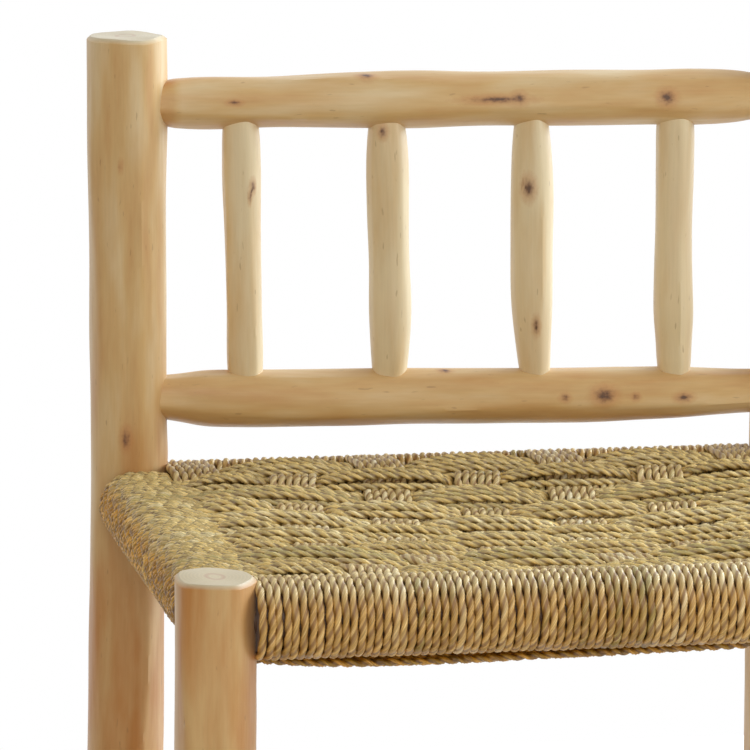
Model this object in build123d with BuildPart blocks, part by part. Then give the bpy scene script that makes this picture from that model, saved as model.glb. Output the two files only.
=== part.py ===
"""Stick chair with a woven rope seat, made of peeled round poles.

The chair faces -Y, +X is to the right of someone who looks at it from the front, and +Z is up.
The origin is on the floor, under the middle of the chair. Left and right are the viewer's.
All sizes are in millimetres.
"""

import os
from math import cos, radians, sin

from build123d import *

os.makedirs("parts", exist_ok=True)

# ---------------------------------------------------------------- driving sizes
# The frame
post_spacing = 435.0  # left to right, from pole centre to pole centre
seat_depth = 345.0  # front to back, from pole centre to pole centre
seat_height = 450.0  # floor to the rope where it goes over the seat rails
back_rise = 276.0  # rear posts above the seat height
leg_rise = 5.0  # front legs above the seat height
post_diameter = 48.5  # rear posts beside the seat
post_head_diameter = 51.0  # rear posts near the top, where they are thickest
leg_diameter = 47.0  # front legs beside the seat
foot_diameter = 42.0  # all four feet
end_bevel = 2.0  # whittled edge round the cut end of a pole

# The back
top_rail_drop = 43.0  # axis of the top rail below the top of the posts
back_rail_rise = 40.0  # axis of the lower back rail above the seat height
top_rail_diameter = 34.5
back_rail_diameter = 36.5
spindle_count = 4
spindle_spacing = 96.0
spindle_diameter = 25.5

# The rails that carry the seat
seat_rail_diameter = 38.0  # front and rear
side_rail_diameter = 34.0

# The stretchers between the legs
stretcher_diameter = 29.0
front_stretcher_height = 190.0
rear_stretcher_height = 205.0
high_side_stretcher_height = 236.0
low_side_stretcher_height = 125.0

# Round tenons whittled on the pole ends, glued into blind bores
back_tenon_diameter = 30.0
tenon_diameter = 20.0
tenon_end = 3.0  # end of a tenon, measured from the axis of the pole that it enters
seat_tenon_diameter = 18.0
seat_tenon_end = 11.0  # the seat rails meet at one height, so their tenons stop short of each other
spindle_tenon_diameter = 20.0
spindle_tenon_end = 6.0
fit = 0.1  # room between a tenon and the wood round it
shoulder_gap = 0.3  # room between the body of a pole and the round pole that it enters

# The rope seat: groups of six ropes, woven over three groups and under one
rope_diameter = 4.6
rope_fit = 0.2  # room between two layers of rope, and between the rope and its rail
warp_groups = 13  # groups that run front to back
weft_rows = 10  # groups that run side to side
group_gap = 5.0  # room beside each group, where the crossing groups dip and rise
seat_dish = 9.0  # how far the middle of the seat lies below its edges
dish_edge_share = 0.5  # share of the dish where the outermost groups lie
under_sag = 6.0  # how far the side-to-side ropes sag under the seat
wrap_flats = 5  # flats that a group makes where it turns round a rail

# ------------------------------------------------------------- dependent sizes
post_radius = post_diameter / 2
leg_radius = leg_diameter / 2
back_tenon_radius = back_tenon_diameter / 2
tenon_radius = tenon_diameter / 2
seat_tenon_radius = seat_tenon_diameter / 2
spindle_tenon_radius = spindle_tenon_diameter / 2
seat_rail_radius = seat_rail_diameter / 2
side_rail_radius = side_rail_diameter / 2

post_height = seat_height + back_rise
leg_height = seat_height + leg_rise
top_rail_height = post_height - top_rail_drop
back_rail_height = seat_height + back_rail_rise
seat_rail_height = seat_height - rope_diameter - rope_fit - seat_rail_radius
side_rail_height = seat_height - rope_diameter - rope_fit - side_rail_radius

# The origin is under the middle of the chair's whole depth
front_overhang = max(leg_radius, seat_rail_radius + rope_fit + rope_diameter)
rear_overhang = max(post_head_diameter / 2, seat_rail_radius + rope_fit + rope_diameter)
side_x = post_spacing / 2
front_y = (front_overhang - rear_overhang - seat_depth) / 2
rear_y = front_y + seat_depth

LEFT = (-1, 0, 0)
RIGHT = (1, 0, 0)
FRONT = (0, -1, 0)
REAR = (0, 1, 0)
UP = (0, 0, 1)
STANDING = (Align.CENTER, Align.CENTER, Align.MIN)
HANGING = (Align.CENTER, Align.CENTER, Align.MAX)

# Natural shape of each pole: share of the length, share of the diameter
post_head_share = post_head_diameter / post_diameter
post_shape = (
    (0.00, foot_diameter / post_diameter),
    (0.20, 0.97),
    (0.60, 1.00),
    (0.78, 0.98),
    (0.92, post_head_share),
    (1.00, post_head_share),
)
leg_shape = (
    (0.00, foot_diameter / leg_diameter),
    (0.30, 0.97),
    (0.70, 1.00),
    (1.00, 1.00),
)
top_rail_shape = ((0.06, 0.95), (0.20, 0.98), (0.40, 1.02), (0.62, 0.99), (0.88, 1.00), (0.95, 0.95))
back_rail_shape = ((0.05, 0.91), (0.13, 0.98), (0.30, 1.02), (0.60, 0.98), (0.85, 0.93), (0.94, 0.87))
stretcher_shape = ((0.07, 0.88), (0.18, 0.99), (0.50, 1.03), (0.82, 0.98), (0.93, 0.87))
spindle_shapes = (
    ((0.12, 0.88), (0.30, 0.90), (0.60, 0.91), (0.88, 0.95)),
    ((0.10, 0.93), (0.25, 1.02), (0.60, 1.03), (0.90, 0.98)),
    ((0.12, 0.90), (0.30, 1.00), (0.65, 1.05), (0.90, 0.95)),
    ((0.10, 0.90), (0.28, 0.97), (0.60, 0.94), (0.90, 0.94)),
)


# ------------------------------------------------------------------ pole pieces
def standing_pole(x, y, height, diameter, shape, bores):
    """A post or leg on the floor at x, y. Its girth changes smoothly from section to section,
    and each (height, direction, tenon radius, tenon end) gives it a blind bore. Its outline is
    drawn on the side that looks to the middle of the chair, between the two rows of bores."""
    outline = [(girth * diameter / 2, share * height) for share, girth in shape]
    with BuildPart() as piece:
        with BuildSketch(Plane((x, y, 0), x_dir=(-x, -y, 0), z_dir=(-y, x, 0))):
            with BuildLine():
                Spline(*outline)
                Polyline(outline[-1], (0, height), (0, 0), outline[0])
            make_face()
        revolve(axis=Axis((x, y, 0), UP))
        chamfer(piece.faces().filter_by(Plane.XY).edges(), end_bevel)
        for bore_height, direction, radius, end in bores:
            with Locations(Plane((x, y, bore_height), z_dir=direction).offset(end - fit)):
                Cylinder(radius + fit, diameter, align=STANDING, mode=Mode.SUBTRACT)
    return piece.part


def tenoned_pole(start, direction, span, neighbours, tenon, end, curve):
    """A pole from one neighbour's axis to another's, a span apart: a round tenon at each end,
    up to a distance from that axis, and a body between them that starts at the neighbours'
    surfaces, given by their radii. The curve draws the body from (radius, place) to place."""
    line = Plane(start, z_dir=direction)
    first = neighbours[0] + shoulder_gap
    last = span - neighbours[1] - shoulder_gap
    with BuildPart() as piece:
        with BuildSketch(Plane(start, x_dir=line.x_dir, z_dir=-line.y_dir)):
            with BuildLine():
                curve(tenon, first, last)
                Polyline(
                    (tenon, last), (tenon, span - end), (0, span - end),
                    (0, end), (tenon, end), (tenon, first),
                )
            make_face()
        revolve(axis=Axis(start, direction))
    return piece.part


def natural_body(diameter, shape):
    """Curve of a natural pole that tapers smoothly to its tenons."""

    def curve(tenon, first, last):
        sections = [(girth * diameter / 2, first + share * (last - first)) for share, girth in shape]
        Spline((tenon, first), *sections, (tenon, last))

    return curve


def dressed_body(diameter):
    """Curve of a seat rail: even all along, with a square shoulder at each tenon."""

    def curve(tenon, first, last):
        Polyline((tenon, first), (diameter / 2, first), (diameter / 2, last), (tenon, last))

    return curve


# ---------------------------------------------------------- rear posts and legs
side_bores = (
    (side_rail_height, seat_tenon_radius, seat_tenon_end),
    (high_side_stretcher_height, tenon_radius, tenon_end),
    (low_side_stretcher_height, tenon_radius, tenon_end),
)
post_bores = (
    (top_rail_height, back_tenon_radius, tenon_end),
    (back_rail_height, back_tenon_radius, tenon_end),
    (seat_rail_height, seat_tenon_radius, seat_tenon_end),
    (rear_stretcher_height, tenon_radius, tenon_end),
)
leg_bores = (
    (seat_rail_height, seat_tenon_radius, seat_tenon_end),
    (front_stretcher_height, tenon_radius, tenon_end),
)


def facing(bores, direction):
    """The same bores, all drilled from one side."""
    return [(height, direction, radius, end) for height, radius, end in bores]


for side, x, inward in (("left", -side_x, RIGHT), ("right", side_x, LEFT)):
    with BuildPart() as rear_post:
        bores = facing(post_bores, inward) + facing(side_bores, FRONT)
        add(standing_pole(x, rear_y, post_height, post_diameter, post_shape, bores))
    rear_post.part.label = f"rear_post_{side}"
    export_step(rear_post.part, f"parts/rear_post_{side}.step")

    with BuildPart() as front_leg:
        bores = facing(leg_bores, inward) + facing(side_bores, REAR)
        add(standing_pole(x, front_y, leg_height, leg_diameter, leg_shape, bores))
    front_leg.part.label = f"front_leg_{side}"
    export_step(front_leg.part, f"parts/front_leg_{side}.step")

# ------------------------------------------------------------------- back rails
spindle_first = -spindle_spacing * (spindle_count - 1) / 2
spindle_places = [spindle_first + spindle_spacing * number for number in range(spindle_count)]

with BuildPart() as top_rail:
    add(
        tenoned_pole(
            (-side_x, rear_y, top_rail_height), RIGHT, post_spacing,
            (post_head_diameter / 2, post_head_diameter / 2), back_tenon_radius, tenon_end,
            natural_body(top_rail_diameter, top_rail_shape),
        )
    )
    with Locations([(x, rear_y, top_rail_height - spindle_tenon_end + fit) for x in spindle_places]):
        Cylinder(spindle_tenon_radius + fit, top_rail_diameter, align=HANGING, mode=Mode.SUBTRACT)
top_rail.part.label = "top_rail"
export_step(top_rail.part, "parts/top_rail.step")

with BuildPart() as lower_back_rail:
    add(
        tenoned_pole(
            (-side_x, rear_y, back_rail_height), RIGHT, post_spacing,
            (post_radius, post_radius), back_tenon_radius, tenon_end,
            natural_body(back_rail_diameter, back_rail_shape),
        )
    )
    with Locations([(x, rear_y, back_rail_height + spindle_tenon_end - fit) for x in spindle_places]):
        Cylinder(spindle_tenon_radius + fit, back_rail_diameter, align=STANDING, mode=Mode.SUBTRACT)
lower_back_rail.part.label = "lower_back_rail"
export_step(lower_back_rail.part, "parts/lower_back_rail.step")

# --------------------------------------------------------------------- spindles
spindle_span = top_rail_height - back_rail_height
for number, x in enumerate(spindle_places):
    with BuildPart() as back_spindle:
        add(
            tenoned_pole(
                (x, rear_y, back_rail_height), UP, spindle_span,
                (back_rail_diameter / 2, top_rail_diameter / 2), spindle_tenon_radius,
                spindle_tenon_end,
                natural_body(spindle_diameter, spindle_shapes[number % len(spindle_shapes)]),
            )
        )
    back_spindle.part.label = f"back_spindle_{number + 1}"
    export_step(back_spindle.part, f"parts/back_spindle_{number + 1}.step")

# ------------------------------------------------------- seat rails, stretchers
for name, y, neighbour in (
    ("front", front_y, leg_radius),
    ("rear", rear_y, post_radius),
):
    with BuildPart() as seat_rail:
        add(
            tenoned_pole(
                (-side_x, y, seat_rail_height), RIGHT, post_spacing, (neighbour, neighbour),
                seat_tenon_radius, seat_tenon_end, dressed_body(seat_rail_diameter),
            )
        )
    seat_rail.part.label = f"seat_rail_{name}"
    export_step(seat_rail.part, f"parts/seat_rail_{name}.step")

for name, x in (("left", -side_x), ("right", side_x)):
    with BuildPart() as seat_rail:
        add(
            tenoned_pole(
                (x, front_y, side_rail_height), REAR, seat_depth, (leg_radius, post_radius),
                seat_tenon_radius, seat_tenon_end, dressed_body(side_rail_diameter),
            )
        )
    seat_rail.part.label = f"seat_rail_{name}"
    export_step(seat_rail.part, f"parts/seat_rail_{name}.step")

for name, x, y, height, direction, span, neighbours in (
    ("front_stretcher", -side_x, front_y, front_stretcher_height, RIGHT, post_spacing,
     (leg_radius, leg_radius)),
    ("rear_stretcher", -side_x, rear_y, rear_stretcher_height, RIGHT, post_spacing,
     (post_radius, post_radius)),
    ("high_side_stretcher_left", -side_x, front_y, high_side_stretcher_height, REAR, seat_depth,
     (leg_radius, post_radius)),
    ("high_side_stretcher_right", side_x, front_y, high_side_stretcher_height, REAR, seat_depth,
     (leg_radius, post_radius)),
    ("low_side_stretcher_left", -side_x, front_y, low_side_stretcher_height, REAR, seat_depth,
     (leg_radius, post_radius)),
    ("low_side_stretcher_right", side_x, front_y, low_side_stretcher_height, REAR, seat_depth,
     (leg_radius, post_radius)),
):
    with BuildPart() as stretcher:
        add(
            tenoned_pole(
                (x, y, height), direction, span, neighbours, tenon_radius, tenon_end,
                natural_body(stretcher_diameter, stretcher_shape),
            )
        )
    stretcher.part.label = name
    export_step(stretcher.part, f"parts/{name}.step")

# ---------------------------------------------------------------- the rope seat
# Each group of ropes is one closed band round two opposite rails. On top of the seat the bands
# lie in two layers that change places at the crossings, and below it they only cross.
warp_half_span = side_x - max(post_radius, leg_radius) - rope_fit
warp_pitch = 2 * warp_half_span / warp_groups
warp_width = warp_pitch - group_gap
weft_front_edge = front_y + leg_radius + rope_fit
weft_rear_edge = rear_y - post_radius - rope_fit
weft_pitch = (weft_rear_edge - weft_front_edge) / weft_rows
weft_width = weft_pitch - group_gap
layer_step = (rope_diameter + rope_fit) / 2  # from the middle of the weave to either layer


def warp_place(group):
    """Middle of a front-to-back group, counted from the left."""
    return (group + 0.5) * warp_pitch - warp_half_span


def weft_place(row):
    """Middle of a side-to-side row, counted from the rear."""
    return weft_rear_edge - (row + 0.5) * weft_pitch


def warp_shows(group, row):
    """Every other front-to-back group comes up over the rows, by turns, and shows as a window
    between the long floats of the side-to-side rope. The groups between stay covered."""
    return group % 2 == 0 and (group // 2 + row) % 2 == 0


def dish_share(number, count):
    """How deep a crossing lies in the dish of the seat: the groups next to the rails lie
    higher than the ones further in."""
    return dish_edge_share if number in (0, count - 1) else 1.0


def weave_level(group, row):
    """Middle of the two layers where a group crosses a row."""
    dish = seat_dish * dish_share(group, warp_groups) * dish_share(row, weft_rows)
    return seat_height - rope_diameter - rope_fit / 2 - dish


def level_run(crossings, width):
    """Centre line of a band through its (place, level) crossings. It is level where it crosses
    another band, and climbs or falls between them."""
    run = []
    for place, level in crossings:
        if run and run[-1][1] == level:
            run.pop()
        else:
            run.append((place - width / 2, level))
        run.append((place + width / 2, level))
    return run


def turn_round_rail(centre, height, radius, side):
    """Corners of the flats that a band makes as it turns round the outer side of a rail, from
    the top down."""
    flat = 180 / wrap_flats
    corner = radius / cos(radians(flat / 2))
    angles = [radians(90 - flat * (number + 0.5)) for number in range(wrap_flats)]
    return [(centre + side * corner * cos(a), height + corner * sin(a)) for a in angles]


def rope_band(plane, first_rail, last_rail, rail_height, rail_radius, top_run, under_run, width):
    """A closed band of rope round two rails, drawn on the plane that it circles in. The two
    runs are its centre line between the rails, from the first rail to the last."""
    shoulder = rail_radius / 2
    with BuildPart() as band:
        with BuildSketch(plane):
            for shift, mode in ((rope_diameter / 2, Mode.ADD), (-rope_diameter / 2, Mode.SUBTRACT)):
                radius = rail_radius + rope_fit + rope_diameter / 2 + shift
                crest = rail_height + radius
                first_turn = turn_round_rail(first_rail, rail_height, radius, -1)
                last_turn = turn_round_rail(last_rail, rail_height, radius, 1)
                over = [(place, level + shift) for place, level in top_run]
                under = [(place, level - shift) for place, level in under_run]
                with BuildLine():
                    Polyline(
                        *reversed(first_turn), (first_rail + shoulder, crest), *over,
                        (last_rail - shoulder, crest), *last_turn, *reversed(under), close=True,
                    )
                make_face(mode=mode)
        extrude(amount=width / 2, both=True)
    return band.part


with BuildPart() as seat_rope_front_to_back:
    for group in range(warp_groups):
        crossings = []
        for row in reversed(range(weft_rows)):
            step = layer_step if warp_shows(group, row) else -layer_step
            crossings.append((weft_place(row), weave_level(group, row) + step))
        add(
            rope_band(
                Plane.YZ.offset(warp_place(group)), front_y, rear_y, seat_rail_height,
                seat_rail_radius, level_run(crossings, weft_width), [], warp_width,
            )
        )
seat_rope_front_to_back.part.label = "seat_rope_front_to_back"
export_step(seat_rope_front_to_back.part, "parts/seat_rope_front_to_back.step")

warp_underside = seat_rail_height - seat_rail_radius - rope_fit - rope_diameter
under_level = warp_underside - rope_fit - rope_diameter / 2
warp_outer_edge = warp_place(warp_groups - 1) + warp_width / 2
under_run = [
    (-warp_outer_edge, under_level),
    (0.0, under_level - under_sag),
    (warp_outer_edge, under_level),
]
weft_plane = Plane((0, 0, 0), x_dir=RIGHT, z_dir=FRONT)
with BuildPart() as seat_rope_side_to_side:
    for row in range(weft_rows):
        crossings = []
        for group in range(warp_groups):
            step = -layer_step if warp_shows(group, row) else layer_step
            crossings.append((warp_place(group), weave_level(group, row) + step))
        add(
            rope_band(
                weft_plane.offset(-weft_place(row)), -side_x, side_x, side_rail_height,
                side_rail_radius, level_run(crossings, warp_width), under_run, weft_width,
            )
        )
seat_rope_side_to_side.part.label = "seat_rope_side_to_side"
export_step(seat_rope_side_to_side.part, "parts/seat_rope_side_to_side.step")
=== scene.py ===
"""Chair of peeled poles with a woven rope seat: its meshes, finishes and studio round the frame."""

import logging
import math
from collections.abc import Callable
from dataclasses import dataclass
from enum import Enum

import bmesh
import bpy
import numpy as np
from mathutils import Matrix, Vector, noise


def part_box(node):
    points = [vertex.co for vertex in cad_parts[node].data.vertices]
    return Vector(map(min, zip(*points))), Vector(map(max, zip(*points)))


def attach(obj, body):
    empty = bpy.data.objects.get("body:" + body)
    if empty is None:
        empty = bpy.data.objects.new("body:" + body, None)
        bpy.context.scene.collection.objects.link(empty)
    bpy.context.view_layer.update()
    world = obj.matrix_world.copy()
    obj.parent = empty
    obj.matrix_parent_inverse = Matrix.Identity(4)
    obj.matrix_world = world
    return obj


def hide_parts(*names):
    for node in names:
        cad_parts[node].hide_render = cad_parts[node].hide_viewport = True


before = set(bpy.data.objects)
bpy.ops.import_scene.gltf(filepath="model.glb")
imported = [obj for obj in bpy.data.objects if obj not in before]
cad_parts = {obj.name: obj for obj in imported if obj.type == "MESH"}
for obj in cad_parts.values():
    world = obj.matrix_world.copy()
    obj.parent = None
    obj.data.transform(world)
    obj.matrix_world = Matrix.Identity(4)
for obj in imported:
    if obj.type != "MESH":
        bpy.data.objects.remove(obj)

MM = 0.001
FACTOR, COLOUR_A, COLOUR_B, MIXED = 0, 6, 7, 2  # sockets of a Mix node that mixes colours

Tree = bpy.types.NodeTree
Socket = bpy.types.NodeSocket

log = logging.getLogger("stick_chair")


class Slot(Enum):
    """The record's material slots."""

    WOOD = "peeled_wood"
    ROPE = "seat_rope"


class Lengthwise(Enum):
    """Which way a pole grows: its two cross directions and its length, right-handed. A turn
    round the pole starts at the first cross direction and goes towards the second."""

    UPRIGHT = ((0, -1, 0), (1, 0, 0), (0, 0, 1))
    ACROSS = ((0, -1, 0), (0, 0, -1), (1, 0, 0))
    FRONT_TO_BACK = ((-1, 0, 0), (0, 0, 1), (0, 1, 0))


# ----------------------------------------------------------------------------- small helpers
def linear(hex_colour: str) -> tuple[float, float, float, float]:
    """Turns an sRGB hex colour into the linear one that a socket takes.

    Args:
        hex_colour: six hex digits after a hash.

    Returns:
        Linear red, green, blue and an alpha of one.
    """
    parts = [int(hex_colour[place : place + 2], 16) / 255 for place in (1, 3, 5)]
    red, green, blue = (p / 12.92 if p <= 0.04045 else ((p + 0.055) / 1.055) ** 2.4 for p in parts)
    return red, green, blue, 1.0


def add_node(tree: Tree, kind: str, inputs: dict | None = None, **settings) -> bpy.types.Node:
    """Adds a node with its settings and links.

    Args:
        tree: the node tree that gets it.
        kind: Blender's name for the kind of node.
        inputs: a value or an output socket for each named or numbered input.
        settings: the node's own properties. A list of (place, colour) is its ramp's stops.

    Returns:
        The new node.
    """
    node = tree.nodes.new(kind)
    stops = settings.pop("stops", None)
    for name, value in settings.items():
        setattr(node, name, value)
    for key, value in (inputs or {}).items():
        if isinstance(value, Socket):
            tree.links.new(value, node.inputs[key])
        else:
            node.inputs[key].default_value = value
    if stops:
        ramp = node.color_ramp.elements
        while len(ramp) < len(stops):
            ramp.new(0.5)
        for element, (place, colour) in zip(ramp, stops):
            element.position = place
            element.color = colour if isinstance(colour, tuple) else linear(colour)
    return node


def grey(value: float) -> tuple[float, float, float, float]:
    """A ramp colour that carries a plain number."""
    return value, value, value, 1.0


def eased(share: np.ndarray) -> np.ndarray:
    """Eases shares from 0 to 1, so that they leave both ends level."""
    return share * share * (3 - 2 * share)


def curve_through(points: tuple[tuple[float, float], ...], places: np.ndarray) -> np.ndarray:
    """Reads a smooth curve through a few points.

    Args:
        points: (place, value) pairs in rising order of place.
        places: where to read it.

    Returns:
        The curve's value at each place, level past its ends.
    """
    knots, values = np.array(points, float).T
    slopes = np.gradient(values, knots)
    first = np.clip(np.searchsorted(knots, places) - 1, 0, len(knots) - 2)
    span = knots[first + 1] - knots[first]
    t = np.clip((places - knots[first]) / span, 0, 1)
    rise = eased(t)
    bend = t * (1 - t) ** 2 * slopes[first] - t * t * (1 - t) * slopes[first + 1]
    return values[first] * (1 - rise) + values[first + 1] * rise + span * bend


def store(mesh: bpy.types.Mesh, name: str, values: np.ndarray) -> None:
    """Keeps a number or a vector for each vertex of a mesh.

    Args:
        mesh: the mesh that gets the attribute.
        name: the attribute's name, as the materials read it.
        values: one number, or one row of three, for each vertex.
    """
    kind, field = ("FLOAT", "value") if values.ndim == 1 else ("FLOAT_VECTOR", "vector")
    attribute = mesh.attributes.new(name, kind, "POINT")
    attribute.data.foreach_set(field, np.ascontiguousarray(values, np.float32).ravel())


# ---------------------------------------------------------------------------------- finishes
@dataclass(frozen=True)
class PeeledPole:
    """Young hardwood pole, debarked with a draw knife and left raw: silky, dry and hardly shiny.
    The knife leaves long faint tracks, the grain shows as fine lengthwise fibres, and sap turns
    parts of it reddish. A sawn end is paler, with growth rings round a pinkish pith.

    Widths, lengths and depths are in mm."""

    pale: str = "#E1CBA0"
    tan: str = "#CFA86D"
    deep: str = "#B87A35"
    flush: str = "#C79259"
    fleck: str = "#8C6238"
    heart: str = "#4A2912"
    ring: str = "#8A5026"
    halo: str = "#B97840"
    sawn: str = "#CFBE9B"
    pith: str = "#C3A283"
    fibre_width: float = 1.6  # coarser than real fibres, which are too fine to show
    fibre_length: float = 40.0
    fibre_depth: float = 0.12
    fibre_relief: float = 0.5  # strength of the fibres' bumps
    streak_width: float = 17.0
    streak_length: float = 92.0
    flush_width: float = 19.0
    flush_length: float = 85.0
    fleck_width: float = 2.4
    fleck_length: float = 11.0
    knot_rim: float = 1.1  # how ragged a knot's rim is, in knot sizes
    rim_width: float = 2.0
    rim_length: float = 3.0
    knot_reach: float = 5.0  # knot sizes that its ramps of colour span
    growth_ring: float = 2.1
    ring_wander: float = 3.0  # how far the growth rings stray from round
    wander_width: float = 14.0
    face_radius: float = 24.0  # radius that the sawn face's ramp of colour spans
    roughness: float = 0.44
    ior: float = 1.5
    nap: float = 0.14  # sheen of the raised fibres
    nap_roughness: float = 0.45

    def stretched(self, tree: Tree, place: Socket, width: float, length: float, **settings) -> Socket:
        """Noise that is drawn out along the pole.

        Args:
            tree: the material's nodes.
            place: place in the pole.
            width: size of its spots across the pole, in mm.
            length: size of its spots along the pole, in mm.
            settings: the noise's other inputs.

        Returns:
            The noise's value socket.
        """
        scale = (1 / (width * MM), 1 / (width * MM), 1 / (length * MM))
        spot = add_node(tree, "ShaderNodeMapping", {"Vector": place, "Scale": scale})
        inputs = {"Vector": spot.outputs[0], "Scale": 1.0, "Detail": 3.0, **settings}
        return add_node(tree, "ShaderNodeTexNoise", inputs).outputs["Fac"]

    def grown(self, tree: Tree, place: Socket, fibre: Socket) -> Socket:
        """Colour that the tree gave: streaks, a flush of sap, fibres and small dark flecks, over each
        pole's hue, which also holds painted shade low on the left rear post and painted light on the
        spindles.

        Args:
            tree: the material's nodes.
            place: place in the pole.
            fibre: the fibres' noise.

        Returns:
            The colour's socket.
        """
        streak = self.stretched(tree, place, self.streak_width, self.streak_length, Detail=4.0)
        # each pole's hue along its length; on the left rear post it holds painted shade, on the spindles
        # painted light
        hue = add_node(tree, "ShaderNodeAttribute", attribute_name="hue").outputs["Fac"]
        toned = add_node(tree, "ShaderNodeMath", {0: streak, 1: hue}, operation="ADD")
        stops = [(0.14, self.deep), (0.50, self.tan), (0.88, self.pale)]
        colour = add_node(tree, "ShaderNodeValToRGB", {"Fac": toned.outputs[0]}, stops=stops).outputs[0]

        sap = self.stretched(tree, place, self.flush_width, self.flush_length, Detail=2.0, Roughness=0.4)
        stops = [(0.46, grey(0.0)), (0.74, grey(0.20))]
        sap = add_node(tree, "ShaderNodeValToRGB", {"Fac": sap}, stops=stops).outputs[0]
        inputs = {FACTOR: sap, COLOUR_A: colour, COLOUR_B: linear(self.flush)}
        colour = add_node(tree, "ShaderNodeMix", inputs, data_type="RGBA").outputs[MIXED]

        stops = [(0.30, grey(0.965)), (0.62, grey(1.015))]
        shade = add_node(tree, "ShaderNodeValToRGB", {"Fac": fibre}, stops=stops).outputs[0]
        inputs = {FACTOR: 1.0, COLOUR_A: colour, COLOUR_B: shade}
        shaded = add_node(tree, "ShaderNodeMix", inputs, data_type="RGBA", blend_type="MULTIPLY")

        fleck = self.stretched(tree, place, self.fleck_width, self.fleck_length, Detail=1.0)
        stops = [(0.72, grey(0.0)), (0.78, grey(0.35))]
        fleck = add_node(tree, "ShaderNodeValToRGB", {"Fac": fleck}, stops=stops).outputs[0]
        inputs = {FACTOR: fleck, COLOUR_A: shaded.outputs[MIXED], COLOUR_B: linear(self.fleck)}
        return add_node(tree, "ShaderNodeMix", inputs, data_type="RGBA").outputs[MIXED]

    def knotted(self, tree: Tree, place: Socket, colour: Socket) -> Socket:
        """Adds the knots: a dark heart, a brown ring and a reddish halo drawn out along the grain.

        Args:
            tree: the material's nodes.
            place: place in the pole.
            colour: the wood's colour without them.

        Returns:
            The colour's socket.
        """
        knot = add_node(tree, "ShaderNodeAttribute", attribute_name="knot").outputs["Fac"]
        ragged = self.stretched(tree, place, self.rim_width, self.rim_length)
        inputs = {0: ragged, 1: self.knot_rim, 2: knot}
        reach = add_node(tree, "ShaderNodeMath", inputs, operation="MULTIPLY_ADD").outputs[0]
        inputs = {0: reach, 1: self.knot_reach}
        scaled = add_node(tree, "ShaderNodeMath", inputs, operation="DIVIDE").outputs[0]
        stops = [(0.18, self.heart), (0.29, self.ring), (0.42, self.halo)]
        burl = add_node(tree, "ShaderNodeValToRGB", {"Fac": scaled}, stops=stops).outputs[0]
        stops = [(0.20, grey(0.95)), (0.32, grey(0.55)), (0.62, grey(0.0))]
        cover = add_node(tree, "ShaderNodeValToRGB", {"Fac": scaled}, stops=stops).outputs[0]
        inputs = {FACTOR: cover, COLOUR_A: colour, COLOUR_B: burl}
        return add_node(tree, "ShaderNodeMix", inputs, data_type="RGBA").outputs[MIXED]

    def sawn_face(self, tree: Tree, place: Socket) -> Socket:
        """Colour of a sawn end, with growth rings round its pith.

        Args:
            tree: the material's nodes.
            place: place in the pole.

        Returns:
            The colour's socket.
        """
        flat = add_node(tree, "ShaderNodeVectorMath", {0: place, 1: (1, 1, 0)}, operation="MULTIPLY")
        radius = add_node(tree, "ShaderNodeVectorMath", {0: flat.outputs[0]}, operation="LENGTH")
        wander = self.stretched(tree, place, self.wander_width, self.wander_width)
        inputs = {0: wander, 1: self.ring_wander * MM, 2: radius.outputs["Value"]}
        grown = add_node(tree, "ShaderNodeMath", inputs, operation="MULTIPLY_ADD").outputs[0]
        inputs = {0: grown, 1: 2 * math.pi / (self.growth_ring * MM)}
        turns = add_node(tree, "ShaderNodeMath", inputs, operation="MULTIPLY").outputs[0]
        wave = add_node(tree, "ShaderNodeMath", {0: turns}, operation="SINE").outputs[0]
        stops = [(0.0, grey(0.93)), (1.0, grey(1.0))]
        rings = add_node(tree, "ShaderNodeValToRGB", {"Fac": wave}, stops=stops).outputs[0]
        inputs = {0: grown, 1: self.face_radius * MM}
        core = add_node(tree, "ShaderNodeMath", inputs, operation="DIVIDE").outputs[0]
        stops = [(0.22, self.sawn), (0.29, self.pith), (0.38, self.sawn)]
        face = add_node(tree, "ShaderNodeValToRGB", {"Fac": core}, stops=stops).outputs[0]
        inputs = {FACTOR: 1.0, COLOUR_A: face, COLOUR_B: rings}
        ringed = add_node(tree, "ShaderNodeMix", inputs, data_type="RGBA", blend_type="MULTIPLY")
        return ringed.outputs[MIXED]

    def material(self) -> bpy.types.Material:
        """Builds the material.

        Returns:
            The finished material.
        """
        made = bpy.data.materials.new("peeled_hardwood_pole")
        made.use_nodes = True
        tree = made.node_tree
        shader = tree.nodes["Principled BSDF"]
        place = add_node(tree, "ShaderNodeAttribute", attribute_name="pole").outputs["Vector"]
        sawn = add_node(tree, "ShaderNodeAttribute", attribute_name="sawn").outputs["Fac"]
        fibre = self.stretched(tree, place, self.fibre_width, self.fibre_length, Detail=5.0, Roughness=0.6)
        peeled = self.knotted(tree, place, self.grown(tree, place, fibre))
        inputs = {FACTOR: sawn, COLOUR_A: peeled, COLOUR_B: self.sawn_face(tree, place)}
        colour = add_node(tree, "ShaderNodeMix", inputs, data_type="RGBA").outputs[MIXED]

        # The fibres' backs are rubbed smoother than the gaps between them, and the saw cuts them off
        stops = [(0.3, grey(self.roughness + 0.10)), (0.7, grey(self.roughness - 0.06))]
        rough = add_node(tree, "ShaderNodeValToRGB", {"Fac": fibre}, stops=stops)
        inputs = {0: sawn, 1: -self.fibre_relief, 2: self.fibre_relief}
        strength = add_node(tree, "ShaderNodeMath", inputs, operation="MULTIPLY_ADD").outputs[0]
        inputs = {"Height": fibre, "Strength": strength, "Distance": self.fibre_depth * MM}
        bump = add_node(tree, "ShaderNodeBump", inputs)
        tree.links.new(colour, shader.inputs["Base Color"])
        tree.links.new(rough.outputs[0], shader.inputs["Roughness"])
        tree.links.new(bump.outputs[0], shader.inputs["Normal"])
        shader.inputs["IOR"].default_value = self.ior
        shader.inputs["Sheen Weight"].default_value = self.nap
        shader.inputs["Sheen Roughness"].default_value = self.nap_roughness
        return made


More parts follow.
